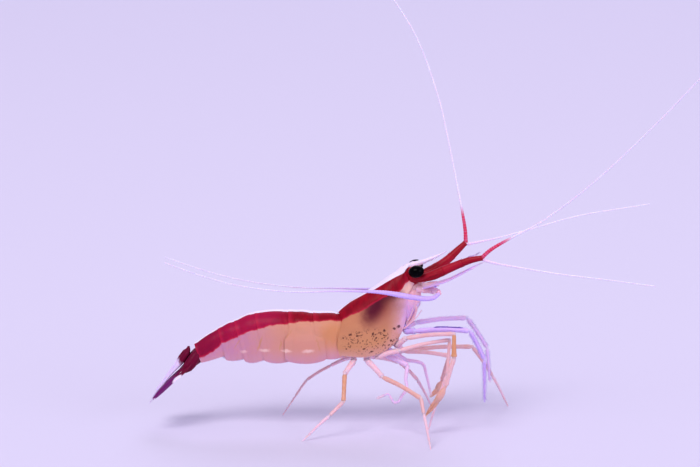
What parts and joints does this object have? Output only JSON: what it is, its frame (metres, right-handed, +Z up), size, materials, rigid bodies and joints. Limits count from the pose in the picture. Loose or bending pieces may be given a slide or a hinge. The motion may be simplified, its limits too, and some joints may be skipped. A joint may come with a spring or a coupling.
{
  "type": "cleaner shrimp model",
  "caption": "Life-size still model of a cleaner shrimp: plated body, tail fan, stalked eyes, jointed legs with small claws and long whip feelers, standing on its walking feet.",
  "frame": {"origin": "on the floor, under the middle of the model's box", "axes": "+X the way the shrimp faces, +Y to its left, +Z up"},
  "size_m": [0.086, 0.0294, 0.0728],
  "materials": {
    "body_shell": "smooth, wet-looking, slightly see-through shell over cream flesh, with a crimson band each side of a white back line",
    "tail_shell": "dark crimson blades with white patches and clear fringed edges",
    "swimmeret": "thin, see-through pinkish leaf with a fringe",
    "eye": "glossy black with a fine facet grain",
    "head_pale": "pale pinkish-lavender, slightly see-through",
    "feeler_red": "crimson, ringed with fine joints",
    "feeler_white": "milky white, ringed with fine joints",
    "leg_orange": "see-through orange, paler at the joints",
    "leg_pale": "see-through pinkish-lavender with fine bristles"
  },
  "bodies": {
    "root": {"carapace": "body_shell", "abdomen_1": "body_shell", "abdomen_2": "body_shell", "abdomen_3": "body_shell", "abdomen_4": "body_shell", "abdomen_5": "body_shell", "abdomen_6": "body_shell", "telson": "tail_shell", "uropod_inner_left": "tail_shell", "uropod_inner_right": "tail_shell", "uropod_outer_left": "tail_shell", "uropod_outer_right": "tail_shell", "swimmeret_1_left": "swimmeret", "swimmeret_1_right": "swimmeret", "swimmeret_2_left": "swimmeret", "swimmeret_2_right": "swimmeret", "swimmeret_3_left": "swimmeret", "swimmeret_3_right": "swimmeret", "swimmeret_4_left": "swimmeret", "swimmeret_4_right": "swimmeret", "swimmeret_5_left": "swimmeret", "swimmeret_5_right": "swimmeret", "eye_left": "eye", "eye_right": "eye", "eye_stalk_left": "head_pale", "eye_stalk_right": "head_pale", "mouthparts": "head_pale", "antennule_right": "feeler_red", "antennule_left": "feeler_red", "antenna_scale_left": "head_pale", "antenna_scale_right": "head_pale", "antenna_base_left": "head_pale", "antenna_base_right": "head_pale", "antennule_outer_flagellum_right": "feeler_red", "antennule_outer_flagellum_left": "feeler_red", "antennule_inner_flagellum_right": "feeler_white", "antennule_inner_flagellum_left": "feeler_white", "antenna_flagellum_right": "feeler_white", "antenna_flagellum_left": "feeler_white", "maxilliped_right": "leg_pale", "maxilliped_left": "leg_pale", "leg_1_right": "leg_orange", "leg_1_left": "leg_orange", "leg_3_right": "leg_orange", "leg_3_left": "leg_orange", "leg_4_right": "leg_orange", "leg_4_left": "leg_orange", "leg_5_right": "leg_orange", "leg_5_left": "leg_orange", "leg_2_right": "leg_pale", "leg_2_left": "leg_pale", "claw_right": "leg_orange", "claw_left": "leg_orange"}
  },
  "joints": []
}
